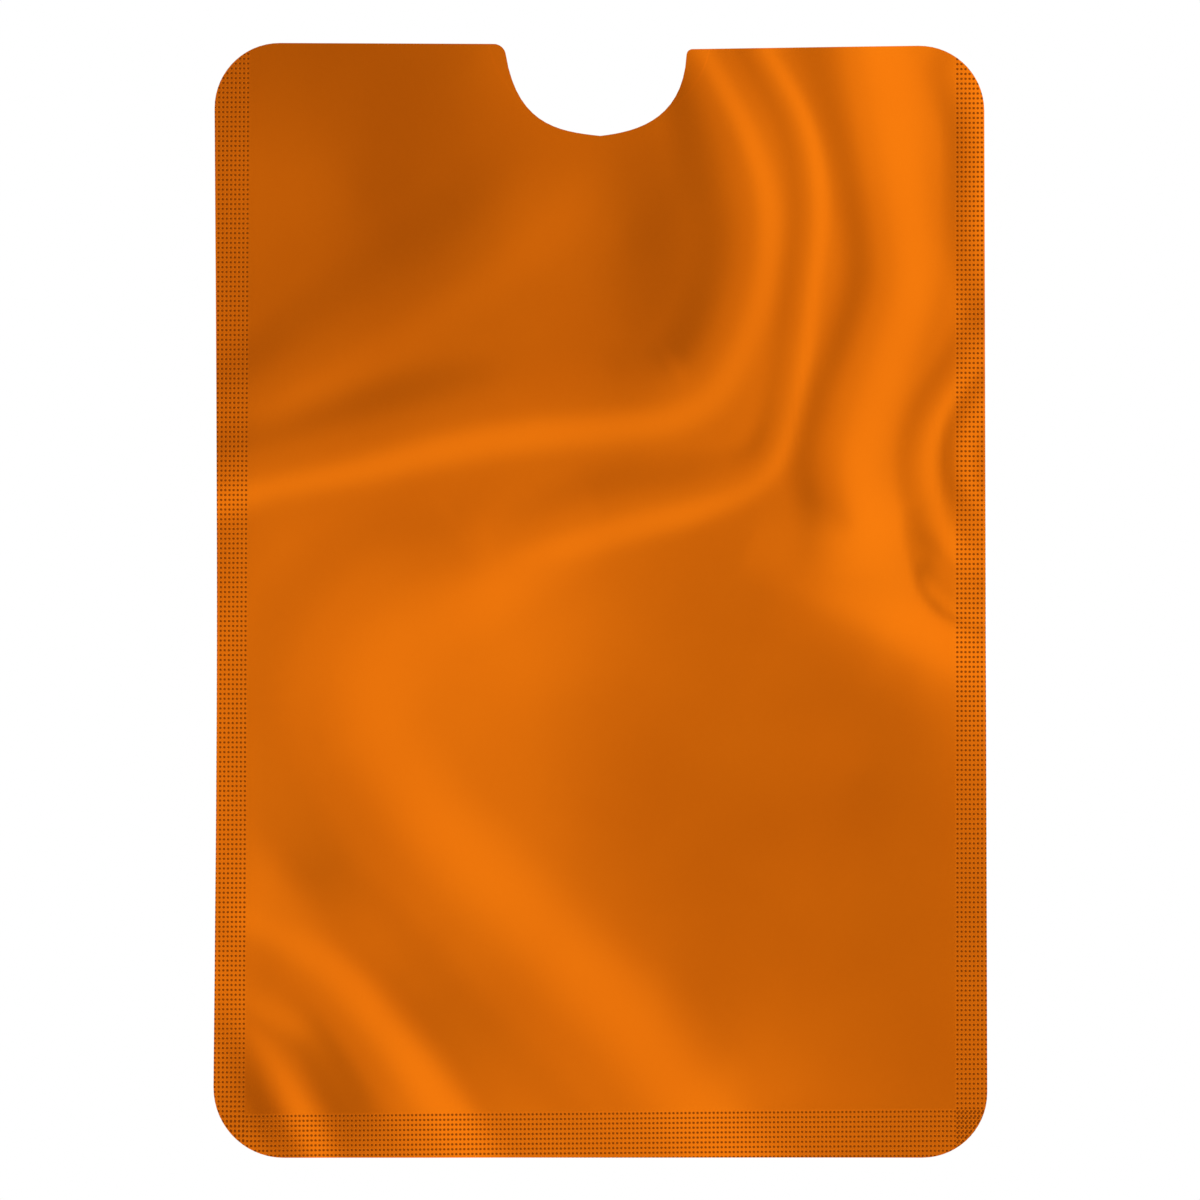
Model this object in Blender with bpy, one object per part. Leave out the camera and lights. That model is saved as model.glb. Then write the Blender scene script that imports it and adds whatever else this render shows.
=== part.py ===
"""Phone card sleeve: a flat foil pocket for one card, welded on three sides, that sticks to the back of a phone.

X runs to the right and Z up to the mouth, seen from the front. Y runs from the front wall back to the phone.
The origin is in the middle of the adhesive face that the phone takes.
"""

from collections import namedtuple
from math import pi, radians, sin, tan

import bmesh
import bpy
from mathutils import Matrix, Vector

mm = 0.001

# Outline, seen from the front
sleeve_height = 90.7 * mm
sleeve_width = 63.0 * mm
corner_radius = 5.3 * mm
left_foot_radius = 5.7 * mm

# How much narrower the mouth is than the foot and how far it sits to the left, how far the left side draws in
# halfway up, and how much lower the mouth's right corner is than its left one
mouth_draw = 0.35 * mm
mouth_shift = 0.08 * mm
left_side_draw = 0.3 * mm
right_corner_drop = 0.18 * mm

# Thumb notch in the mouth, measured from the middle line of the sleeve
notch_left = 7.8 * mm
notch_right = 7.06 * mm
notch_depth = 7.6 * mm
left_lip_radius = 1.0 * mm
right_lip_radius = 0.5 * mm
left_lip_drop = 0.12 * mm
right_lip_drop = 0.55 * mm

# The rear wall's notch: how far it keeps behind the front one all round, and how much further apart its lips are
rear_notch_margin = 0.15 * mm
rear_lip_spread = 1.4 * mm

# How full the notch's curve is: pulls along its sides and its floor, and the lean of its sides and of its floor
left_side_pull_share = 0.9
left_floor_pull_share = 0.41
left_lean_share = 0.138
right_side_pull_share = 0.82
right_floor_pull_share = 0.416
right_lean_share = 0.044
floor_lean_share = 0.112

# Weld bands round the pocket
left_weld_width = 2.5 * mm
right_weld_width = 2.4 * mm
foot_weld_width = 4.1 * mm

# Layers of each wall, from the outside in
outer_film = 0.10 * mm
foil = 0.07 * mm
inner_film = 0.08 * mm

# The front wall stands off the rear one at the mouth, and closes onto it over this height from the foot weld
mouth_gape = 1.2 * mm
gape_run = 32.0 * mm

# Adhesive pad on the rear wall, set in from the sleeve's sides and from its ends
pad_side_margin = 6.5 * mm
pad_end_margin = 11.35 * mm
pad_radius = 4.0 * mm
pad_thickness = 0.25 * mm

# Release liner over the pad, with a finger tab past its right edge as seen from the front
liner_thickness = 0.12 * mm
liner_clearance = 0.3 * mm
tab_width = 16.0 * mm
tab_reach = 4.2 * mm
tab_radius = 3.0 * mm
tab_root_radius = 1.5 * mm

# Facets
curve_steps = 15
crown_columns = 12
crown_rows = 7
straight_within = radians(0.1)

# Edges of the outline, of the pocket and of the pad
mouth_width = sleeve_width - mouth_draw
mouth_line = sleeve_height / 2
foot_line = -sleeve_height / 2
pocket_left = left_weld_width - sleeve_width / 2
pocket_right = sleeve_width / 2 - right_weld_width
pocket_foot = foot_line + foot_weld_width
pad_width = sleeve_width - 2 * pad_side_margin
pad_height = sleeve_height - 2 * pad_end_margin

# Depth of each layer's two faces, counted from the adhesive face towards the front
rear_film_back = pad_thickness
rear_foil_back = rear_film_back + outer_film
rear_inner_back = rear_foil_back + foil
pocket_floor = rear_inner_back + inner_film
front_inner_front = pocket_floor + inner_film
front_foil_front = front_inner_front + foil
front_film_front = front_foil_front + outer_film

# One place of an outline: its rounding radius, and the curve handles before and after it where an edge is curved
Corner = namedtuple("Corner", "place radius before after", defaults=(0, None, None))


def clear_scene():
    for existing in list(bpy.data.objects):
        bpy.data.objects.remove(existing, do_unlink=True)


def new_collection(name):
    collection = bpy.data.collections.new(name)
    bpy.context.scene.collection.children.link(collection)
    return collection


def new_material(name, colour, roughness, metallic):
    material = bpy.data.materials.new(name)
    material.use_nodes = True
    shader = material.node_tree.nodes["Principled BSDF"]
    shader.inputs["Base Color"].default_value = (*colour, 1)
    shader.inputs["Roughness"].default_value = roughness
    shader.inputs["Metallic"].default_value = metallic
    return material


def notch_corners(margin, spread):
    """The notch from its left lip to its right one, set back by the margin, its lips further out by the spread."""
    left = notch_left + margin
    right = notch_right + margin
    floor = mouth_line - notch_depth - margin
    left_lip = Vector((-left - spread, mouth_line - left_lip_drop - margin))
    right_lip = Vector((right + spread, mouth_line - right_lip_drop - margin))
    left_fall = left_lip.y - floor
    right_fall = right_lip.y - floor
    left_side = Vector((left_lean_share * left + spread, -left_side_pull_share * left_fall))
    right_side = Vector((-right_lean_share * right - spread, -right_side_pull_share * right_fall))
    floor_left = Vector((-1, floor_lean_share)) * left_floor_pull_share * left
    floor_right = Vector((1, floor_lean_share)) * right_floor_pull_share * right
    return [
        Corner(left_lip, left_lip_radius, after=left_side),
        Corner(Vector((0, floor)), 0, before=floor_left, after=floor_right),
        Corner(right_lip, right_lip_radius, before=right_side),
    ]


def sleeve_corners(notch):
    """The sleeve's outline, clockwise from the top left."""
    mouth_left = -mouth_width / 2 - mouth_shift
    mouth_right = mouth_width / 2 - mouth_shift
    left_middle = Vector(((mouth_left - sleeve_width / 2) / 2 + left_side_draw, 0))
    along_side = Vector((0, sleeve_height / 6))
    return [
        Corner(Vector((mouth_left, mouth_line)), corner_radius),
        *notch,
        Corner(Vector((mouth_right, mouth_line - right_corner_drop)), corner_radius),
        Corner(Vector((sleeve_width / 2, foot_line)), corner_radius),
        Corner(Vector((-sleeve_width / 2, foot_line)), left_foot_radius),
        Corner(left_middle, 0, before=-along_side, after=along_side),
    ]


def pad_corners(tab=()):
    """The adhesive pad's outline, clockwise from the top left, with any tab on its right side."""
    side = pad_width / 2
    top = pad_height / 2
    return [
        Corner(Vector((-side, top)), pad_radius),
        Corner(Vector((side, top)), pad_radius),
        *tab,
        Corner(Vector((side, -top)), pad_radius),
        Corner(Vector((-side, -top)), pad_radius),
    ]


def tab_corners():
    side = pad_width / 2
    half = tab_width / 2
    return [
        Corner(Vector((side, half + tab_root_radius)), tab_root_radius),
        Corner(Vector((side + tab_reach, half)), tab_radius),
        Corner(Vector((side + tab_reach, -half)), tab_radius),
        Corner(Vector((side, -half - tab_root_radius)), tab_root_radius),
    ]


def handle_of(corner, side):
    return corner.place + (getattr(corner, side) or Vector((0, 0)))


def curve_points(corners):
    """(place, left handle, right handle) of each point: one for a smooth corner, two for the ends of an arc."""
    points = []
    for number, corner in enumerate(corners):
        if not corner.radius:
            points.append((corner.place, handle_of(corner, "before"), handle_of(corner, "after")))
            continue
        behind = corner.before or handle_of(corners[number - 1], "after") - corner.place
        ahead = corner.after or handle_of(corners[(number + 1) % len(corners)], "before") - corner.place
        arriving = -behind.normalized()
        leaving = ahead.normalized()
        turn = arriving.angle(leaving)
        start = corner.place - arriving * corner.radius * tan(turn / 2)
        end = corner.place + leaving * corner.radius * tan(turn / 2)
        pull = corner.radius * tan(turn / 4) * 4 / 3
        points.append((start, corner.place + corner.before if corner.before else start, start + arriving * pull))
        points.append((end, end - leaving * pull, corner.place + corner.after if corner.after else end))
    return points


def blank_of(name, corners):
    """One flat face inside the outline, upright in the XZ plane."""
    curve = bpy.data.curves.new(name, "CURVE")
    curve.dimensions = "2D"
    curve.fill_mode = "NONE"
    curve.resolution_u = curve_steps
    spline = curve.splines.new("BEZIER")
    points = curve_points(corners)
    spline.bezier_points.add(len(points) - 1)
    for point, (place, left, right) in zip(spline.bezier_points, points):
        point.co = place.to_3d()
        point.handle_left = left.to_3d()
        point.handle_right = right.to_3d()
    spline.use_cyclic_u = True
    guide = bpy.data.objects.new(name, curve)
    bpy.context.scene.collection.objects.link(guide)
    graph = bpy.context.evaluated_depsgraph_get()
    wire = bpy.data.meshes.new_from_object(guide.evaluated_get(graph))
    blank = bmesh.new()
    blank.from_mesh(wire)
    bpy.data.objects.remove(guide)
    bpy.data.meshes.remove(wire)
    bmesh.ops.remove_doubles(blank, verts=blank.verts[:], dist=inner_film / 1000)
    bmesh.ops.contextual_create(blank, geom=blank.edges[:])
    bmesh.ops.dissolve_limit(blank, angle_limit=straight_within, verts=blank.verts[:], edges=blank.edges[:])
    bmesh.ops.rotate(blank, verts=blank.verts[:], matrix=Matrix.Rotation(pi / 2, 3, "X"))
    return blank


def crease(blank, place, normal):
    """Cuts the blank's faces along a straight line, so that they can bend or part there."""
    everything = blank.verts[:] + blank.edges[:] + blank.faces[:]
    bmesh.ops.bisect_plane(blank, geom=everything, plane_co=place, plane_no=normal)


def crease_pocket(blank, columns, rows):
    """Creases at the weld lines, and between them where the front wall's crown bends."""
    for column in range(columns + 1):
        across = pocket_left + (pocket_right - pocket_left) * column / columns
        crease(blank, Vector((across, 0, 0)), Vector((1, 0, 0)))
    for row in range(rows + 1):
        up = pocket_foot + gape_run * row / max(rows, 1)
        crease(blank, Vector((0, 0, up)), Vector((0, 0, 1)))
    bmesh.ops.triangulate(blank, faces=blank.faces[:])


def crown(x, z):
    """How far the front wall stands off the rear one: nothing at the welds, the full gape at the mouth's middle."""
    across = (x - pocket_left) / (pocket_right - pocket_left)
    up = min((z - pocket_foot) / gape_run, 1)
    if not 0 < across < 1 or up <= 0:
        return 0
    return mouth_gape * sin(pi * across) ** 2 * sin(pi / 2 * up) ** 2


def flat(x, z):
    return 0


def anywhere(place):
    return True


def in_left_weld(place):
    return place.x < pocket_left


def in_right_weld(place):
    return place.x > pocket_right


def in_foot_weld(place):
    return pocket_left < place.x < pocket_right and place.z < pocket_foot


def in_pocket(place):
    return pocket_left < place.x < pocket_right and place.z > pocket_foot


def layer(name, blank, region, back, front, stand_off, material, collection):
    """A film made of the blank's faces in a region: they go to its back depth and are extruded to its front one."""
    body = blank.copy()
    outside = [face for face in body.faces if not region(face.calc_center_median())]
    bmesh.ops.delete(body, geom=outside, context="FACES")
    for vertex in body.verts:
        vertex.co.y = -back - stand_off(vertex.co.x, vertex.co.z)
    made = bmesh.ops.extrude_face_region(body, geom=body.faces[:], use_keep_orig=True)
    for vertex in made["geom"]:
        if isinstance(vertex, bmesh.types.BMVert):
            vertex.co.y = -front - stand_off(vertex.co.x, vertex.co.z)
    bmesh.ops.recalc_face_normals(body, faces=body.faces[:])
    mesh = bpy.data.meshes.new(name)
    body.to_mesh(mesh)
    body.free()
    mesh.materials.append(material)
    mesh.shade_smooth()
    mesh.set_sharp_from_angle(angle=radians(30))
    piece = bpy.data.objects.new(name, mesh)
    collection.objects.link(piece)
    return piece


def rear_wall(collection, tinted, bare, sealing):
    blank = blank_of("rear_outline", sleeve_corners(notch_corners(rear_notch_margin, rear_lip_spread)))
    crease_pocket(blank, 1, 0)
    layer("rear_outer_film", blank, anywhere, rear_film_back, rear_foil_back, flat, tinted, collection)
    layer("rear_foil", blank, anywhere, rear_foil_back, rear_inner_back, flat, bare, collection)
    layer("rear_inner_film", blank, in_pocket, rear_inner_back, pocket_floor, flat, sealing, collection)


def front_wall(collection, tinted, bare, sealing):
    blank = blank_of("front_outline", sleeve_corners(notch_corners(0, 0)))
    crease_pocket(blank, crown_columns, crown_rows)
    layer("front_inner_film", blank, in_pocket, pocket_floor, front_inner_front, crown, sealing, collection)
    layer("front_foil", blank, anywhere, front_inner_front, front_foil_front, crown, bare, collection)
    layer("front_outer_film", blank, anywhere, front_foil_front, front_film_front, crown, tinted, collection)


def welds(collection, fused):
    """Where the two inner films are melted into one, between the foils."""
    blank = blank_of("weld_outline", sleeve_corners(notch_corners(0, 0)))
    crease_pocket(blank, 1, 0)
    bands = {"left_weld": in_left_weld, "right_weld": in_right_weld, "foot_weld": in_foot_weld}
    for name, region in bands.items():
        layer(name, blank, region, rear_inner_back, front_inner_front, flat, fused, collection)


def adhesive_pad(collection, sticky):
    blank = blank_of("pad_outline", pad_corners())
    layer("adhesive_pad", blank, anywhere, 0, pad_thickness, flat, sticky, collection)


def release_liner(collection, coated):
    """The liner's origin is on the line that it peels back about: its left edge, on the side that faces the pad."""
    blank = blank_of("liner_outline", pad_corners(tab_corners()))
    outside = -liner_clearance - liner_thickness
    liner = layer("release_liner", blank, anywhere, outside, -liner_clearance, flat, coated, collection)
    peel_line = Vector((-pad_width / 2, liner_clearance, 0))
    liner.data.transform(Matrix.Translation(-peel_line))
    liner.location = peel_line


def build():
    clear_scene()
    sleeve = new_collection("phone_card_sleeve")
    tinted = new_material("tinted_metallised_film", (0.62, 0.13, 0.006), 0.3, 0.9)
    bare = new_material("bare_foil", (0.78, 0.79, 0.8), 0.25, 1)
    sealing = new_material("sealing_film", (0.74, 0.73, 0.7), 0.45, 0)
    fused = new_material("fused_film", (0.5, 0.3, 0.16), 0.5, 0)
    sticky = new_material("acrylic_adhesive", (0.8, 0.8, 0.77), 0.6, 0)
    coated = new_material("coated_liner_film", (0.86, 0.8, 0.62), 0.5, 0)
    rear_wall(sleeve, tinted, bare, sealing)
    front_wall(sleeve, tinted, bare, sealing)
    welds(sleeve, fused)
    adhesive_pad(sleeve, sticky)
    release_liner(sleeve, coated)


build()
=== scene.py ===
"""Phone card sleeve, dressed: every ply of its foil laminate with the soft waves and folds that the film
has taken, the knurled seals down both sides and along the foot, the adhesive pad, and the peeling liner.
"""

from math import pi, radians

import bpy
import numpy as np
from mathutils import Matrix


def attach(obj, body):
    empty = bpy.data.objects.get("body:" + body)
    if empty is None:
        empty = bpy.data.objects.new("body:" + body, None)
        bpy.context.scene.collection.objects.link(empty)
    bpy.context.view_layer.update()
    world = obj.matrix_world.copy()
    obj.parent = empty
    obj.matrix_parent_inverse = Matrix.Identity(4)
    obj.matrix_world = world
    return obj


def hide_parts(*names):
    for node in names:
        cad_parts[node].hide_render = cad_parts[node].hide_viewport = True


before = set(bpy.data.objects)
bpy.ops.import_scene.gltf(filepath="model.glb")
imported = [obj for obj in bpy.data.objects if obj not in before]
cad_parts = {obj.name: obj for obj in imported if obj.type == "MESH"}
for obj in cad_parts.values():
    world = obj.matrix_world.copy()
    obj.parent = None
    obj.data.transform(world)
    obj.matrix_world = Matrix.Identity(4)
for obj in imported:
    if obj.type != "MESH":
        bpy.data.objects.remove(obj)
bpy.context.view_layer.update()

mm = 0.001

# Where the pocket ends and the seals begin, as in the solids
pocket_left = -29.0 * mm
pocket_right = 29.1 * mm
pocket_foot = -41.25 * mm

# Thicknesses of the plies
outer_film = 0.10 * mm
foil = 0.07 * mm
inner_film = 0.08 * mm

# Where one ply ends and the next begins, counted from the adhesive's outer face towards the front
rear_foil_back = 0.35 * mm
rear_inner_back = 0.42 * mm
pocket_floor = 0.50 * mm
front_inner_front = 0.58 * mm
front_foil_front = 0.65 * mm
front_film_front = 0.75 * mm

# The adhesive pad keeps the rear wall flat. That wall lets go of the seals' waves over this width, counted
# from the seals inwards
let_go = 3.6 * mm

# How finely the front face, the rear wall and the other plies are scored. A score keeps this share of a
# cell away from the seals' own scores
face_weave = 0.5 * mm
rear_weave = 0.7 * mm
ply_weave = 1.0 * mm
score_clearance = 0.3

# Points closer than this are one point, edges straighter than this are one edge, and a bend sharper than the
# last is a crease
merge_gap = 0.001 * mm
straight = radians(0.05)
crease = radians(30)

# A face of a solid looks to the front where its normal's y is at most this
front_facing = -0.5

# Camera: how far off it stands, its frame's width at the object, its sensor's width in millimetres, and how
# near and how far it sees
camera_distance = 1.5
frame_width = 97.6 * mm
sensor_width = 36
nearest_seen = 0.01
farthest_seen = 100

# The film: its colours, its roughness, its clouds and its satin. Heights in materials are in millimetres
film_light = (0.64, 0.130, 0.0029)
film_deep = (0.615, 0.122, 0.0027)
film_roughness = 0.18
film_cloud = 14 * mm
film_cloud_detail = 3.0
film_cloud_start = 0.3
film_cloud_end = 0.7
film_cloud_middle = 0.5
film_cloud_roughness = 0.02
satin_size = 0.35 * mm
satin_height = 0.0006

# The seals: their colours, of which the dots' dark colour is painted shade in their pits, how rough the
# bands and dots are, and how deep the dots are pressed
seal_tone = (0.662, 0.132, 0.0030)
pit_shade_tone = (0.25, 0.047, 0.002)
band_roughness = 0.02
dot_roughness = 0.12
dot_depth = 0.004

# The seals' dots: their size, columns and rows, their pitches, and how much each set leans
dot = 0.098 * mm
dot_edge = 0.03 * mm
left_lean = 0.0043
left_column = -28.83 * mm
left_pitch = 0.3365 * mm
left_row = -41.95 * mm
left_row_pitch = 0.3945 * mm
right_column = 29.054 * mm
right_pitch = 0.3321 * mm
right_row = -41.71 * mm
right_row_pitch = 0.3986 * mm
foot_rise = 0.0072
foot_column = 29.18 * mm
foot_pitch = 0.327 * mm
foot_row = -41.774 * mm
foot_row_pitch = 0.400 * mm

# The rear notch's edge as it shows through the front: an arc on each side, its middle's x and z, its radius
left_print = (0.95 * mm, 47.94 * mm, 10.45 * mm)
right_print = (1.23 * mm, 46.30 * mm, 7.82 * mm)
print_foot = 38.9 * mm
print_width = 0.07 * mm

# The foil: its two greys, its roughness, and the width, detail, stretch and height of its rolling lines
foil_dull = (0.72, 0.73, 0.75)
foil_bright = (0.86, 0.87, 0.88)
foil_roughness = 0.22
rolled_roughness = 0.12
rolled_size = 0.6 * mm
rolled_detail = 3.0
rolled_stretch = (1.0, 1.0, 0.08)
rolled_height = 0.002

# The sealing film: its two whites, its roughness, its haze and its fine pebbles
sealing_dull = (0.66, 0.66, 0.65)
sealing_bright = (0.8, 0.8, 0.79)
sealing_roughness = 0.32
haze_roughness = 0.12
haze_size = 5 * mm
pebble_size = 0.4 * mm
pebble_height = 0.004

# The fused film in the seals: its two browns, its roughness and its lumps
fused_dark = (0.42, 0.26, 0.15)
fused_pale = (0.58, 0.38, 0.22)
fused_roughness = 0.4
melt_roughness = 0.2
melt_size = 0.8 * mm
melt_height = 0.01

# The adhesive: its two whites, its roughness, its coat, its clouds and its fine cells
adhesive_dull = (0.7, 0.7, 0.66)
adhesive_bright = (0.82, 0.82, 0.79)
adhesive_roughness = 0.45
cell_roughness = 0.2
adhesive_coat = 0.3
cloud_coat = 0.2
adhesive_coat_roughness = 0.15
adhesive_cloud = 6 * mm
cell_size = 0.3 * mm
cell_height = 0.02
adhesive_cloud_height = 0.02

# The liner's paper: its two yellows, its roughness, its fibres with their stretch, and its clouds
paper_deep = (0.8, 0.72, 0.5)
paper_pale = (0.92, 0.87, 0.7)
paper_roughness = 0.38
fibre_roughness = 0.14
fibre_size = 0.5 * mm
fibre_stretch = (0.35, 1.0, 1.6)
fibre_share = 0.6
fibre_height = 0.006
paper_cloud = 9 * mm
paper_cloud_share = 0.4
paper_cloud_height = 0.03

# The detail of noise in fine grain, and in the clouds and grain of all but the film and the foil
fine_detail = 2.0
cloud_detail = 4.0

# The studio's cards, in metres: how far off they stand, their edges, their strengths and their tints
card_distance = 2.4
card_end = 1.4
tall_card_end = 1.6
low_card_left = -1.0
low_card_top = -0.18
middle_gap = 0.13
dark_gap = 0.10
dark_foot = -0.12
side_card_near = 2.3
side_card_far = 6.0
side_card_top = 2.0
bright_card = 1.6
dim_card = 0.5
bright_tint = (1.0, 1.09, 1.0)
dim_tint = (1.0, 0.945, 1.0)

# The room's grey light, and the pale floor under the sleeve
room_grey = (0.6, 0.6, 0.6)
white = (1.0, 1.0, 1.0)
floor_size = 8
floor_level = -0.25
floor_tone = (0.9, 0.9, 0.9)
floor_roughness = 0.9

# The middle of the relief stands this far off the front wall's flat place, in millimetres
stand_off = 0.6

# Lines of places on the front wall, each with its x, z and height in millimetres. Between them the film
# bends as a thin plate does. These heights, and the numbers of the folds below, aren't independent of a
# program: they were given and rounded beside the result of a fit to the photo's brightness, and they stay
# close to it
plate_lines = {
    "mouth": [
        (-31, 45, -0.65), (-20, 45, -0.4), (-10, 44, -0.13), (0, 44, -0.05), (10, 44, 0.08),
        (20, 44, -0.03), (31, 44, -0.3),
    ],
    "left_seal": [
        (-31, 35, -0.48), (-31, 25, -0.36), (-31, 15, 0.0), (-31, 8, 0.28), (-31, 0, 0.3), (-31, -14, 0.05),
        (-31, -20, 0.08), (-31, -23, 0.19), (-31, -26, 0.29), (-31, -31, 0.28), (-31, -36, 0.25),
        (-31, -41, 0.23),
    ],
    "foot": [
        (-31, -45, 0.24), (-27, -45, 0.35), (-20, -45, 0.45), (-10, -45, 0.18), (0, -45, -0.02),
        (10, -45, -0.12), (16, -45, -0.06), (21, -45, 0.09), (31, -45, 0.57),
    ],
    "right_seal": [(31, -30, 0.5), (31, -18, 0.46), (31, 11, -0.02), (31, 20, 0.08), (31, 32, 0.07)],
    "long_hollow": [(0, 3, -0.2), (-4, -8, -0.45), (-2, -20, -0.48), (6, -31, -0.28), (10, -38, -0.12)],
    "right_slope": [(15, -7, -0.03), (15, -20, -0.13), (15, -34, -0.1), (21, -14, 0.1), (21, -24, 0.07)],
    "upper_plate": [
        (-20, 33, -0.4), (-8, 30, -0.1), (2, 30, 0.02), (2, 22, 0.05), (-20, 20, -0.15), (9, 33, 0.27),
        (9, 24, 0.26), (3, 15, 0.08),
    ],
    "left_plate": [
        (-20, 4, 0.1), (-10, 2, -0.08), (-15, -8, -0.23), (-22, -12, -0.08), (-15, -20, -0.23),
        (-26, -22, -0.01), (-22, -25, -0.02), (-18, -34, 0.05), (-5, -34, -0.13),
    ],
    "right_bank": [(20, 30, 0.23), (20, 18, 0.14), (16.5, 9, 0.1), (25.5, 11, -0.02), (26.5, 18, 0.08)],
    "patch": [
        (21, 6, 0.12), (25, 6, -0.04), (28, 5, -0.04), (31, 4, -0.03), (15, 3, 0.06), (21, 2, 0.06),
        (27, 0, -0.08), (31, -2, -0.12),
    ],
    "under_patch": [(14, -1, 0.01), (18, -3, 0.07), (22, -4.8, 0.14), (26, -6.8, 0.22), (30, -8.8, 0.31)],
}

# Folds, in millimetres. Each place on a fold's line: x, z, height, half the width of its face, width of its
# back. A negative height makes the fold a hollow's bank
folds = {
    "upper_fold": [
        (-33.0, 7.4, 0.20, 2.4, 4.0), (-27.5, 9.0, 0.18, 2.4, 4.5), (-20.0, 10.5, 0.18, 2.6, 5.0),
        (-9.0, 13.0, 0.19, 3.0, 5.0), (1.5, 14.2, 0.12, 2.7, 4.2), (6.4, 15.0, 0.10, 2.5, 4.4),
        (9.9, 17.5, 0.07, 2.2, 4.8), (12.9, 24.0, 0.05, 1.8, 5.2), (13.7, 31.5, 0.05, 1.6, 5.5),
        (12.0, 38.0, 0.06, 1.5, 6.0), (8.0, 45.4, 0.06, 1.4, 3.0),
    ],
    "middle_fold": [
        (-8.2, 3.0, 0.0, 1.5, 3.0), (-3.2, 4.3, 0.04, 1.8, 4.0), (2.5, 5.9, 0.06, 2.0, 4.3),
        (8.2, 7.4, 0.07, 1.8, 3.4), (12.5, 9.2, 0.05, 1.4, 2.6), (14.8, 11.7, 0.04, 1.1, 2.4),
        (16.2, 16.4, 0.03, 0.9, 2.6), (17.4, 25.0, 0.03, 0.8, 2.6), (18.0, 32.2, 0.03, 0.8, 2.5),
        (16.8, 39.0, 0.03, 0.8, 2.4), (13.2, 45.4, 0.025, 0.8, 2.0),
    ],
    "long_fold": [
        (12.5, -47.5, 0.33, 6.0, 10.5), (2.5, -34.0, 0.26, 6.0, 11.0), (-8.0, -23.5, 0.20, 5.6, 9.0),
        (-14.5, -17.0, 0.16, 5.4, 8.0), (-18.4, -9.0, 0.08, 5.7, 8.0), (-15.5, -2.5, 0.05, 5.2, 7.0),
        (-9.0, 0.8, 0.08, 4.2, 5.5), (-4.9, 2.7, 0.05, 3.4, 5.0), (0.8, 4.9, 0.0, 2.4, 4.3),
    ],
    "corner_fold": [
        (-8.7, -47.0, 0.13, 3.4, 6.5), (-12.6, -41.0, 0.15, 3.4, 6.5), (-16.2, -36.0, 0.15, 3.2, 5.5),
        (-20.2, -31.3, 0.12, 3.0, 4.6), (-24.5, -28.2, 0.09, 2.4, 6.0), (-28.5, -26.4, 0.05, 1.8, 7.5),
        (-33.0, -24.8, 0.03, 1.6, 8.0),
    ],
    "corner_edge": [
        (-21.6, -48.0, 0.18, 2.1, 5.2), (-24.3, -42.0, 0.18, 2.3, 5.0), (-27.0, -37.0, 0.09, 1.9, 4.0),
        (-29.4, -34.0, 0.04, 1.5, 3.4), (-32.5, -31.0, 0.0, 1.2, 3.0),
    ],
    "right_ring": [
        (33.0, 2.4, 0.04, 1.2, 2.6), (30.0, 4.2, 0.04, 1.1, 2.4), (27.9, 6.6, 0.04, 1.0, 2.4),
        (26.9, 10.5, 0.035, 1.0, 2.4), (27.5, 14.2, 0.035, 0.9, 2.4), (29.5, 17.5, 0.04, 0.9, 2.6),
        (33.0, 21.5, 0.04, 1.1, 3.5),
    ],
    "ring_foot": [
        (33.5, 2.0, 0.14, 2.2, 3.4), (31.0, 2.2, 0.14, 2.2, 3.4), (29.4, 3.0, 0.13, 2.0, 2.7),
        (28.2, 4.4, 0.09, 1.6, 2.0), (27.1, 6.0, 0.035, 1.2, 1.6), (26.5, 7.8, 0.0, 1.0, 1.6),
    ],
    "inner_ring": [
        (33.0, 5.5, 0.0, 0.7, 1.5), (30.8, 8.0, 0.03, 0.8, 1.7), (29.9, 11.0, 0.035, 0.9, 1.6),
        (30.5, 14.2, 0.035, 0.9, 1.8), (33.0, 18.0, 0.03, 1.0, 2.0),
    ],
    "upper_streak": [
        (-33.0, 12.9, 0.09, 2.0, 4.3), (-26.5, 15.0, 0.08, 2.1, 5.6), (-18.8, 19.5, 0.05, 2.8, 6.4),
        (-8.0, 26.5, 0.04, 3.0, 6.9), (-2.2, 32.0, 0.02, 3.0, 7.0), (0.2, 39.0, 0.0, 2.6, 6.8),
    ],
    "right_shade": [
        (33.0, 24.0, 0.03, 1.1, 3.0), (31.6, 30.0, 0.05, 1.0, 3.0), (31.6, 38.0, 0.08, 1.0, 3.4),
        (30.8, 43.0, 0.05, 1.2, 3.8),
    ],
    "patch_crease": [
        (11.5, 2.6, 0.0, 1.8, 5.0), (15.5, 1.2, -0.05, 2.2, 6.0), (20.0, -0.5, -0.09, 2.6, 7.5),
        (24.0, -1.8, -0.12, 2.9, 9.0), (28.0, -3.4, -0.14, 3.2, 11.0), (33.0, -5.6, -0.17, 3.4, 13.0),
    ],
    "right_fold": [
        (22.3, 2.0, 0.0, 2.6, 5.0), (21.6, 7.0, 0.05, 2.4, 3.8), (21.1, 11.0, 0.07, 2.4, 4.2),
        (22.2, 15.0, 0.085, 2.6, 4.2), (23.8, 19.5, 0.09, 2.6, 4.0), (25.6, 26.0, 0.09, 2.6, 4.2),
        (24.9, 33.0, 0.08, 2.5, 4.0), (24.1, 40.0, 0.10, 2.8, 4.8), (23.0, 46.5, 0.14, 2.5, 6.8),
    ],
}

# Steps between two places of a fold's line, the least width of a face or back, and how far past its reach a
# fold is still worked out, both in millimetres
fold_steps = 24
least_width = 0.3
fold_margin = 0.5

# Keeps a plate's pull finite at the pin itself, in square millimetres. A plate that isn't bent needs only
# these three numbers: its height and its two slopes
pin_size = 1e-9
plane_terms = 3


def choose(piece):
    """Nothing but this piece is selected and active."""
    bpy.ops.object.select_all(action="DESELECT")
    piece.select_set(True)
    bpy.context.view_layer.objects.active = piece


def coordinates(piece):
    points = np.empty(len(piece.data.vertices) * 3)
    piece.data.vertices.foreach_get("co", points)
    return points.reshape(-1, 3)


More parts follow.
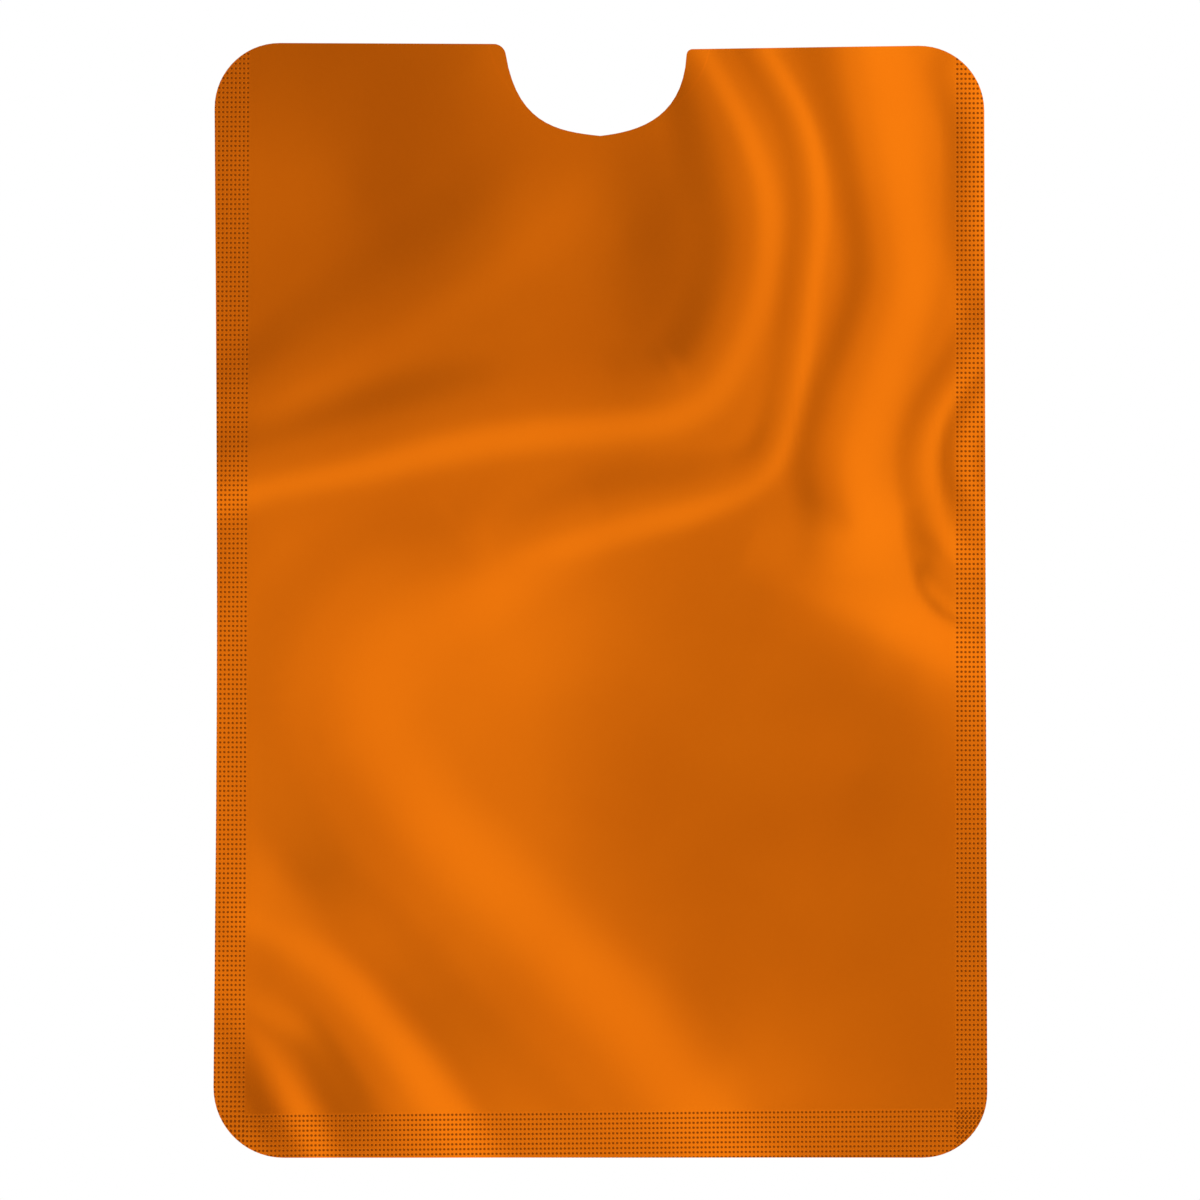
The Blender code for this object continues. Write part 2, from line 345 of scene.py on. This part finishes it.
def move_to(piece, points):
    piece.data.vertices.foreach_set("co", points.ravel())
    piece.data.update()


def thicken(piece, thickness):
    """Gives the piece this thickness behind its face."""
    choose(piece)
    modifier = piece.modifiers.new("solidify", "SOLIDIFY")
    modifier.thickness = thickness
    modifier.offset = -1
    bpy.ops.object.modifier_apply(modifier=modifier.name)


def take_away(piece, unwanted):
    """Deletes these faces of the piece."""
    choose(piece)
    bpy.ops.object.mode_set(mode="EDIT")
    bpy.ops.mesh.select_mode(type="FACE")
    bpy.ops.mesh.select_all(action="DESELECT")
    bpy.ops.object.mode_set(mode="OBJECT")
    for face in piece.data.polygons:
        face.select = unwanted(face)
    bpy.ops.object.mode_set(mode="EDIT")
    bpy.ops.mesh.delete(type="FACE")
    bpy.ops.object.mode_set(mode="OBJECT")


def piece_from(source, name):
    """A new piece with a mesh of its own, copied from another piece or from a solid."""
    piece = bpy.data.objects.new(name, source.data.copy())
    piece.data.name = name
    bpy.context.scene.collection.objects.link(piece)
    return piece


def throw_away(piece):
    mesh = piece.data
    bpy.data.objects.remove(piece)
    bpy.data.meshes.remove(mesh)


def blank_of(node, name):
    """The outline of a ply as one flat face, from a merged copy's faces that look to the front."""
    piece = piece_from(bpy.data.objects[node], name)
    piece.data.materials.clear()
    choose(piece)
    bpy.ops.object.mode_set(mode="EDIT")
    bpy.ops.mesh.select_all(action="SELECT")
    bpy.ops.mesh.remove_doubles(threshold=merge_gap)
    bpy.ops.object.mode_set(mode="OBJECT")
    take_away(piece, lambda face: face.normal.y > front_facing)
    points = coordinates(piece)
    points[:, 1] = 0
    move_to(piece, points)
    bpy.ops.object.mode_set(mode="EDIT")
    bpy.ops.mesh.select_all(action="SELECT")
    bpy.ops.mesh.dissolve_faces(use_verts=False)
    bpy.ops.mesh.dissolve_limited(angle_limit=straight)
    bpy.ops.object.mode_set(mode="OBJECT")
    return piece


def score(piece, weave):
    """Scores the blank along and across, and at the seals, so that it can take the film's waves."""
    points = coordinates(piece)
    low = points.min(axis=0)
    high = points.max(axis=0)
    choose(piece)
    bpy.ops.object.mode_set(mode="EDIT")
    bpy.ops.mesh.select_mode(type="VERT")
    for axis, seals in ((0, (pocket_left, pocket_right)), (2, (pocket_foot,))):
        count = round((high[axis] - low[axis]) / weave)
        lines = [low[axis] + (high[axis] - low[axis]) * number / count for number in range(1, count)]
        clear = score_clearance * weave
        lines = [line for line in lines if min(abs(line - seal) for seal in seals) > clear]
        normal = [0, 0, 0]
        normal[axis] = 1
        for line in lines + list(seals):
            place = [0, 0, 0]
            place[axis] = line
            bpy.ops.mesh.select_all(action="SELECT")
            bpy.ops.mesh.bisect(plane_co=place, plane_no=normal)
    bpy.ops.object.mode_set(mode="OBJECT")


def smooth_shares(count, where):
    """How much of each of this many rows goes into a place between them, on a smooth curve through them."""
    row = np.clip(where.astype(int), 0, count - 2)
    t = (where - row)[:, None]
    carried = np.zeros((count + 2, count))
    carried[1:-1] = np.eye(count)
    carried[0, :2] = 2, -1
    carried[-1, -2:] = -1, 2
    before, start, end, after = (carried[row + step] for step in range(4))
    bend = 2 * before - 5 * start + 4 * end - after
    twist = 3 * start - before - 3 * end + after
    return 0.5 * (2 * start + (end - before) * t + bend * t**2 + twist * t**3)


def eased(t):
    """Goes from 0 to 1 as t does, level and unbent at both ends."""
    t = np.clip(t, 0, 1)
    return t**3 * (10 - 15 * t + 6 * t**2)


def pull(run_x, run_z):
    """How a pin pulls on a thin plate at this distance from it."""
    square = run_x**2 + run_z**2
    return square * np.log(square + pin_size)


def plate_height(x, z):
    """Height of a thin plate that is held at the places of the lines, in millimetres."""
    pin_x, pin_z, height = np.array([place for line in plate_lines.values() for place in line]).T
    count = len(height)
    level = np.column_stack([np.ones(count), pin_x, pin_z])
    pulls = np.zeros((count + plane_terms, count + plane_terms))
    pulls[:count, :count] = pull(pin_x[:, None] - pin_x, pin_z[:, None] - pin_z)
    pulls[:count, count:] = level
    pulls[count:, :count] = level.T
    held = np.linalg.solve(pulls, np.concatenate([height, np.zeros(plane_terms)]))
    bent = pull(x[:, None] - pin_x, z[:, None] - pin_z) @ held[:count]
    return bent + np.column_stack([np.ones(len(x)), x, z]) @ held[count:]


def fold_height(rows, x, z):
    """One fold: its face falls to the right of its line, and its back rises on the left."""
    rows = np.array(rows)
    line = smooth_shares(len(rows), np.arange((len(rows) - 1) * fold_steps + 1) / fold_steps) @ rows
    reach = (2 * line[:, 3] + line[:, 4]).max() + fold_margin
    low = line[:, :2].min(axis=0) - reach
    high = line[:, :2].max(axis=0) + reach
    near = np.flatnonzero((x > low[0]) & (x < high[0]) & (z > low[1]) & (z < high[1]))
    start = line[:-1, :2]
    run = line[1:, :2] - start
    off_x = x[near, None] - start[:, 0]
    off_z = z[near, None] - start[:, 1]
    part = np.clip((off_x * run[:, 0] + off_z * run[:, 1]) / (run**2).sum(axis=1), 0, 1)
    off_x -= part * run[:, 0]
    off_z -= part * run[:, 1]
    closest = (off_x**2 + off_z**2).argmin(axis=1)
    pick = np.arange(len(near)), closest
    part, off_x, off_z = part[pick], off_x[pick], off_z[pick]
    side = np.sign(off_x * run[closest, 1] - off_z * run[closest, 0])
    off = side * np.hypot(off_x, off_z)
    here = line[closest] + part[:, None] * (line[closest + 1] - line[closest])
    height = here[:, 2]
    face, back = np.maximum(here[:, 3:], least_width).T
    rise = np.where(off > -face, eased((face - off) / (2 * face)), eased((off + face + back) / back))
    relief = np.zeros(len(x))
    relief[near] = height * rise
    return relief


def relief_at(points):
    """How far the front wall stands off its flat place, in metres, at each point of a sheet."""
    x = points[:, 0] / mm
    z = points[:, 2] / mm
    height = plate_height(x, z) + stand_off
    for rows in folds.values():
        height += fold_height(rows, x, z)
    return height * mm


def hold_at(points):
    """How much of the front wall's relief the rear wall takes: all in the seals, none at the pad."""
    x = points[:, 0]
    z = points[:, 2]
    inside = np.minimum(np.minimum(x - pocket_left, pocket_right - x), z - pocket_foot)
    return 1 - eased(inside / let_go)


def in_pocket(place):
    return pocket_left < place.x < pocket_right and place.z > pocket_foot


def in_left_seal(place):
    return place.x < pocket_left


def in_right_seal(place):
    return place.x > pocket_right


def in_foot_seal(place):
    return pocket_left < place.x < pocket_right and place.z < pocket_foot


def ply(sheet, name, node, depth, thickness, hold, keep=None):
    """One ply cut from a scored sheet: it follows the relief at its depth, and its thickness is behind."""
    piece = piece_from(sheet, name)
    if keep:
        take_away(piece, lambda face: not keep(face.center))
    points = coordinates(piece)
    points[:, 1] = -depth - relief_at(points) * (hold_at(points) if hold else 1)
    move_to(piece, points)
    thicken(piece, thickness)
    bpy.ops.object.shade_smooth_by_angle(angle=crease)
    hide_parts(node)
    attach(piece, "sleeve")
    return piece


class Shade:
    """A number that changes over a surface. An expression on it adds the nodes that work it out."""

    def __init__(self, nodes, socket):
        self.nodes = nodes
        self.socket = socket

    def reckon(self, operation, *values):
        return self.nodes.node("ShaderNodeMath", {"operation": operation}, dict(enumerate(values))).out()

    def __add__(self, other):
        return self.reckon("ADD", self, other)

    def __radd__(self, other):
        return self.reckon("ADD", other, self)

    def __sub__(self, other):
        return self.reckon("SUBTRACT", self, other)

    def __rsub__(self, other):
        return self.reckon("SUBTRACT", other, self)

    def __mul__(self, other):
        return self.reckon("MULTIPLY", self, other)

    def __rmul__(self, other):
        return self.reckon("MULTIPLY", other, self)

    def __pow__(self, other):
        return self.reckon("POWER", self, other)

    def __rpow__(self, other):
        return self.reckon("POWER", other, self)

    def __gt__(self, other):
        return self.reckon("GREATER_THAN", self, other)

    def __lt__(self, other):
        return self.reckon("LESS_THAN", self, other)

    def most(self, other):
        return self.reckon("MAXIMUM", self, other)

    def size(self):
        return self.reckon("ABSOLUTE", self)

    def off_middle(self, pitch):
        """How far a place is from the nearest whole step, where steps follow each other at this pitch."""
        return self.reckon("PINGPONG", self, pitch / 2)

    def turn_to(self, start, end):
        """Eases from 0 to 1 as this goes from start to end."""
        settings = {"interpolation_type": "SMOOTHSTEP"}
        sockets = {"Value": self, "From Min": start, "From Max": end}
        return self.nodes.node("ShaderNodeMapRange", settings, sockets).out("Result")


class Placed:
    """A node in its tree, and the way to its outputs."""

    def __init__(self, nodes, node):
        self.nodes = nodes
        self.node = node

    def out(self, name=0):
        return Shade(self.nodes, self.node.outputs[name])


class Nodes:
    """The nodes of a material or of the world, in the making."""

    def __init__(self, owner):
        owner.use_nodes = True
        self.tree = owner.node_tree
        self.tree.nodes.clear()

    def node(self, kind, settings, sockets):
        node = self.tree.nodes.new(kind)
        for setting, value in settings.items():
            setattr(node, setting, value)
        for name, value in sockets.items():
            self.put(node.inputs[name], value)
        return Placed(self, node)

    def put(self, socket, value):
        if isinstance(value, Shade):
            self.tree.links.new(value.socket, socket)
        elif isinstance(value, tuple) and len(value) < len(socket.default_value):
            socket.default_value = (*value, 1)
        else:
            socket.default_value = value


class Finish(Nodes):
    """A material in the making."""

    def __init__(self, name, **constants):
        self.material = bpy.data.materials.new(name)
        super().__init__(self.material)
        self.surface = self.node("ShaderNodeBsdfPrincipled", {}, {})
        self.node("ShaderNodeOutputMaterial", {}, {"Surface": self.surface.out()})
        self.set(**constants)

    def set(self, **sockets):
        for name, value in sockets.items():
            self.put(self.surface.node.inputs[name.replace("_", " ")], value)

    def place(self):
        """Where a point is on the piece, in metres."""
        return self.node("ShaderNodeTexCoord", {}, {}).out("Object")

    def grain(self, where, size, detail, stretch=(1.0, 1.0, 1.0)):
        """Noise whose grains are about this size, from 0 to 1."""
        scaled = self.node("ShaderNodeMapping", {}, {"Vector": where, "Scale": stretch}).out()
        sockets = {"Vector": scaled, "Scale": 1 / size, "Detail": detail}
        return self.node("ShaderNodeTexNoise", {}, sockets).out("Fac")

    def blend(self, share, first, second):
        """The first colour where the share is 0 and the second where it is 1."""
        return self.node("ShaderNodeMix", {"data_type": "RGBA"}, {0: share, 6: first, 7: second}).out(2)

    def roughen(self, height):
        """Bumps the surface by this height, in millimetres."""
        sockets = {"Height": height, "Distance": mm, "Strength": 1.0}
        self.set(Normal=self.node("ShaderNodeBump", {}, sockets).out())


def knurl(across, up):
    """Dots of a knurled seal, from how far a place is from the nearest dot's middle: 1 inside a dot."""
    return ((across * across + up * up) ** 0.5).turn_to(dot + dot_edge, dot - dot_edge)


def seal_marks(x, z):
    """The seal bands and the dots that the sealing bars pressed into them."""
    lean = x - z * left_lean
    rise = z - x * foot_rise
    left = lean < left_column + left_pitch / 2
    right = x > right_column - right_pitch / 2
    foot = rise < foot_row + foot_row_pitch / 2
    left_across = (lean - left_column).off_middle(left_pitch)
    left_up = (z - left_row).off_middle(left_row_pitch)
    right_across = (x - right_column).off_middle(right_pitch)
    right_up = (z - right_row).off_middle(right_row_pitch)
    foot_across = (x - foot_column).off_middle(foot_pitch)
    foot_up = (rise - foot_row).off_middle(foot_row_pitch)
    bands = left.most(right).most(foot)
    side_dots = (left * knurl(left_across, left_up)).most(right * knurl(right_across, right_up))
    return bands, side_dots.most(foot * knurl(foot_across, foot_up))


def print_through(x, z):
    """The thin line where the rear wall's notch shows through the front, beside the front's own notch."""
    lines = []
    for side, (middle_x, middle_z, radius) in ((x < 0, left_print), (x > 0, right_print)):
        across = x - middle_x
        up = z - middle_z
        off = ((across * across + up * up) ** 0.5 - radius).size()
        lines.append(side * off.turn_to(print_width, print_width / 2))
    return lines[0].most(lines[1]) * z.turn_to(print_foot, print_foot + mm)


def tinted_film():
    """Orange lacquer over bright metal: satin, with pressed dots in its seal bands, whose pits are darkened
    by painted shade.
    """
    finish = Finish("tinted_metallised_film", Metallic=1.0)
    where = finish.place()
    split = finish.node("ShaderNodeSeparateXYZ", {}, {"Vector": where})
    x = split.out("X")
    z = split.out("Z")
    bands, dots = seal_marks(x, z)
    printed = print_through(x, z)
    cloud = finish.grain(where, film_cloud, film_cloud_detail)
    film = finish.blend(cloud.turn_to(film_cloud_start, film_cloud_end), film_deep, film_light)
    film = finish.blend(bands.most(printed), film, seal_tone)
    # The dots' pits are darkened with painted shade
    film = finish.blend(dots, film, pit_shade_tone)
    satin = finish.grain(where, satin_size, fine_detail)
    rough = film_roughness + (cloud - film_cloud_middle) * film_cloud_roughness
    rough = rough + bands * band_roughness + dots * dot_roughness
    finish.set(Base_Color=film, Roughness=rough)
    finish.roughen(dots * -dot_depth + satin * satin_height)
    return finish.material


def bare_foil():
    """Bright rolled aluminium, with the lines of its rolling up and down."""
    finish = Finish("bare_foil", Metallic=1.0)
    rolled = finish.grain(finish.place(), rolled_size, rolled_detail, rolled_stretch)
    metal = finish.blend(rolled, foil_dull, foil_bright)
    finish.set(Base_Color=metal, Roughness=foil_roughness + rolled * rolled_roughness)
    finish.roughen(rolled * rolled_height)
    return finish.material


def sealing_film():
    """The milky plastic film that lines the pocket."""
    finish = Finish("sealing_film", Metallic=0.0)
    where = finish.place()
    haze = finish.grain(where, haze_size, cloud_detail)
    plastic = finish.blend(haze, sealing_dull, sealing_bright)
    finish.set(Base_Color=plastic, Roughness=sealing_roughness + haze * haze_roughness)
    finish.roughen(finish.grain(where, pebble_size, fine_detail) * pebble_height)
    return finish.material


def fused_film():
    """The sealing films where they have melted together."""
    finish = Finish("fused_film", Metallic=0.0)
    melt = finish.grain(finish.place(), melt_size, cloud_detail)
    plastic = finish.blend(melt, fused_dark, fused_pale)
    finish.set(Base_Color=plastic, Roughness=fused_roughness + melt * melt_roughness)
    finish.roughen(melt * melt_height)
    return finish.material


def acrylic_adhesive():
    """Cloudy white adhesive with a thin wet coat."""
    finish = Finish("acrylic_adhesive", Metallic=0.0, Coat_Roughness=adhesive_coat_roughness)
    where = finish.place()
    cloud = finish.grain(where, adhesive_cloud, cloud_detail)
    cells = finish.grain(where, cell_size, fine_detail)
    glue = finish.blend(cloud, adhesive_dull, adhesive_bright)
    finish.set(Base_Color=glue, Roughness=adhesive_roughness + cells * cell_roughness)
    finish.set(Coat_Weight=adhesive_coat + cloud * cloud_coat)
    finish.roughen(cells * cell_height + cloud * adhesive_cloud_height)
    return finish.material


def coated_liner():
    """Pale yellow glassine with a silicone coat: faint fibres and a soft sheen."""
    finish = Finish("coated_liner_paper", Metallic=0.0)
    where = finish.place()
    fibre = finish.grain(where, fibre_size, cloud_detail, fibre_stretch)
    cloud = finish.grain(where, paper_cloud, cloud_detail)
    paper = finish.blend(fibre * fibre_share + cloud * paper_cloud_share, paper_deep, paper_pale)
    finish.set(Base_Color=paper, Roughness=paper_roughness + fibre * fibre_roughness)
    finish.roughen(fibre * fibre_height + cloud * paper_cloud_height)
    return finish.material


def wear(piece, material):
    piece.data.materials.clear()
    piece.data.materials.append(material)


def front_wall(tinted, bare, sealing):
    """The three plies of the front wall, all of them on the relief."""
    sheet = blank_of("front_outer_film", "front_sheet")
    plies = piece_from(sheet, "front_ply_sheet")
    score(sheet, face_weave)
    score(plies, ply_weave)
    face = ply(sheet, "front_face", "front_outer_film", front_film_front, outer_film, False)
    wear(face, tinted)
    middle = ply(plies, "front_foil_ply", "front_foil", front_foil_front, foil, False)
    wear(middle, bare)
    lining = ply(plies, "front_lining", "front_inner_film", front_inner_front, inner_film, False, in_pocket)
    wear(lining, sealing)
    throw_away(sheet)
    throw_away(plies)


def rear_wall(tinted, bare, sealing):
    """The three plies of the rear wall, which follow the relief in the seals only."""
    plies = blank_of("rear_outer_film", "rear_sheet")
    score(plies, rear_weave)
    face = ply(plies, "rear_face", "rear_outer_film", rear_foil_back, outer_film, True)
    wear(face, tinted)
    middle = ply(plies, "rear_foil_ply", "rear_foil", rear_inner_back, foil, True)
    wear(middle, bare)
    lining = ply(plies, "rear_lining", "rear_inner_film", pocket_floor, inner_film, True, in_pocket)
    wear(lining, sealing)
    throw_away(plies)


def seals(fused):
    """The bands where the two sealing films are one, between the two foils."""
    plies = blank_of("front_outer_film", "seal_sheet")
    score(plies, ply_weave)
    thickness = front_inner_front - rear_inner_back
    for side, region in (("left", in_left_seal), ("right", in_right_seal), ("foot", in_foot_seal)):
        band = ply(plies, side + "_fused_seal", side + "_weld", front_inner_front, thickness, True, region)
        wear(band, fused)
    throw_away(plies)


def carried_over(node, material):
    for slot in bpy.data.objects[node].material_slots:
        slot.material = material


def glow(name, strength, tint):
    material = bpy.data.materials.new(name)
    nodes = Nodes(material)
    light = nodes.node("ShaderNodeEmission", {}, {"Color": tint, "Strength": strength})
    nodes.node("ShaderNodeOutputMaterial", {}, {"Surface": light.out()})
    return material


def card(name, left, right, low, high, strength, tint, y=-card_distance):
    """A glowing card that stands square to the sleeve, seen only by what it lights."""
    bpy.ops.object.select_all(action="DESELECT")
    bpy.ops.mesh.primitive_plane_add(size=1)
    made = bpy.context.object
    made.name = name
    place = Matrix.Translation(((left + right) / 2, y, (low + high) / 2))
    size = Matrix.Diagonal((right - left, high - low, 1, 1))
    made.data.transform(place @ Matrix.Rotation(pi / 2 if y < 0 else -pi / 2, 4, "X") @ size)
    made.data.materials.append(glow(name, strength, tint))
    made.visible_camera = False
    made.visible_shadow = False


def cards():
    """Bright cards to the right and below, dim ones to the upper left and far out, and a pair behind."""
    end = card_end
    tall = tall_card_end
    card("right_card", middle_gap, end, -tall, tall, bright_card, bright_tint)
    card("low_card", low_card_left, middle_gap, -tall, low_card_top, bright_card, bright_tint)
    card("dark_card", -end, -dark_gap, dark_foot, tall, dim_card, dim_tint)
    card("left_side_card", -side_card_far, -side_card_near, -tall, side_card_top, dim_card, dim_tint)
    card("right_side_card", side_card_near, side_card_far, -tall, side_card_top, dim_card, dim_tint)
    card("back_card", -end, -middle_gap, -tall, tall, bright_card, bright_tint, card_distance)
    card("back_dark_card", dark_gap, end, dark_foot, tall, dim_card, dim_tint, card_distance)


def surroundings():
    """A grey light all around, which the camera, mirrors and clear things see as white."""
    world = bpy.data.worlds.new("studio")
    bpy.context.scene.world = world
    nodes = Nodes(world)
    dim = nodes.node("ShaderNodeBackground", {}, {"Color": room_grey}).out()
    bright = nodes.node("ShaderNodeBackground", {}, {"Color": white}).out()
    path = nodes.node("ShaderNodeLightPath", {}, {})
    look = path.out("Is Camera Ray")
    for ray in ("Is Glossy Ray", "Is Transmission Ray"):
        look = look.most(path.out(ray))
    mix = nodes.node("ShaderNodeMixShader", {}, {0: look, 1: dim, 2: bright})
    nodes.node("ShaderNodeOutputWorld", {}, {"Surface": mix.out()})


def pale_floor():
    bpy.ops.object.select_all(action="DESELECT")
    bpy.ops.mesh.primitive_plane_add(size=floor_size, location=(0, 0, floor_level))
    floor = bpy.context.object
    floor.name = "floor"
    floor.visible_glossy = False
    pale = Finish("pale_floor", Base_Color=floor_tone, Roughness=floor_roughness)
    floor.data.materials.append(pale.material)


def camera():
    lens = bpy.data.cameras.new("camera")
    lens.sensor_width = sensor_width
    lens.lens = sensor_width * camera_distance / frame_width
    lens.clip_start = nearest_seen
    lens.clip_end = farthest_seen
    made = bpy.data.objects.new("camera", lens)
    made.location = (0, -camera_distance - front_film_front - stand_off * mm, 0)
    made.rotation_euler = (pi / 2, 0, 0)
    bpy.context.scene.collection.objects.link(made)
    bpy.context.scene.camera = made
    bpy.context.scene.view_settings.view_transform = "Standard"


camera()
surroundings()
cards()
pale_floor()
tinted = tinted_film()
bare = bare_foil()
sealing = sealing_film()
front_wall(tinted, bare, sealing)
rear_wall(tinted, bare, sealing)
seals(fused_film())
carried_over("adhesive_pad", acrylic_adhesive())
carried_over("release_liner", coated_liner())
